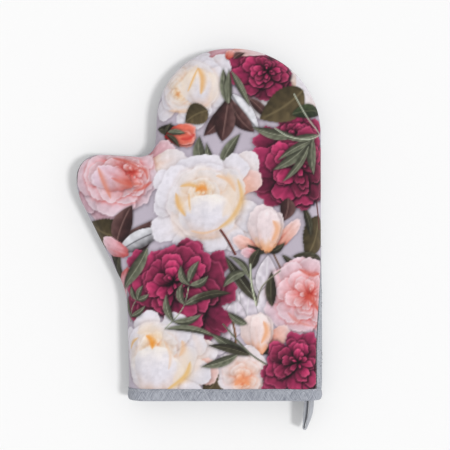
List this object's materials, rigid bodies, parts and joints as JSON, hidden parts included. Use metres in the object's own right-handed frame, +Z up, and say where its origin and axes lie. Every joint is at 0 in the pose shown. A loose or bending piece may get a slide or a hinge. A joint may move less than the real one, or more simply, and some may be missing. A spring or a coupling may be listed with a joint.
{
  "type": "oven mitt",
  "caption": "Padded oven mitt with a printed cotton front, a quilted back, a lined hand pocket with a folding thumb, a bound cuff and a hanging loop.",
  "frame": {"origin": "centre of the bounding box, on the surface that the mitt's back lies on", "axes": "+Z up from the quilted back to the printed front, +Y from the cuff to the fingertips, +X from the thumb side to the little finger side"},
  "size_m": [0.211, 0.325, 0.028],
  "materials": {
    "printed_cotton": "plain weave, matte",
    "chambray": "plain weave, matte",
    "lining": "plain weave, matte",
    "wadding": "felted fibre",
    "binding": "bias-cut plain weave, matte",
    "tape": "folded plain weave, matte",
    "thread": "twisted thread",
    "dark_thread": "twisted thread"
  },
  "bodies": {
    "mitt": {"front_panel": "printed_cotton", "front_wadding": "wadding", "front_lining": "lining", "back_panel": "chambray", "back_wadding": "wadding", "back_lining": "lining", "quilting_thread": "dark_thread", "side_seam_hand": "thread", "side_seam_wrist": "thread", "cuff_binding": "binding", "binding_stitching": "thread", "loop_ends": "tape", "loop_bartack": "thread"},
    "thumb": {"front_panel_thumb": "printed_cotton", "front_wadding_thumb": "wadding", "front_lining_thumb": "lining", "back_panel_thumb": "chambray", "back_wadding_thumb": "wadding", "back_lining_thumb": "lining", "quilting_thread_thumb": "dark_thread", "side_seam_thumb": "thread"},
    "loop": {"hanging_loop": "tape"}
  },
  "joints": [
    {"name": "thumb_fold", "type": "hinge", "parent": "mitt", "child": "thumb", "pos_m": [-0.04867, 0.07078, 0.016], "axis": [0.0995, 0.995, 0], "range_deg": [0, 50], "stiffness_Nm_per_rad": 0.05},
    {"name": "loop_swing", "type": "hinge", "parent": "mitt", "child": "loop", "pos_m": [0.0925, -0.1383, 0.014], "axis": [0, 0, 1], "range_deg": [-55, 55], "stiffness_Nm_per_rad": 0.0005}
  ]
}
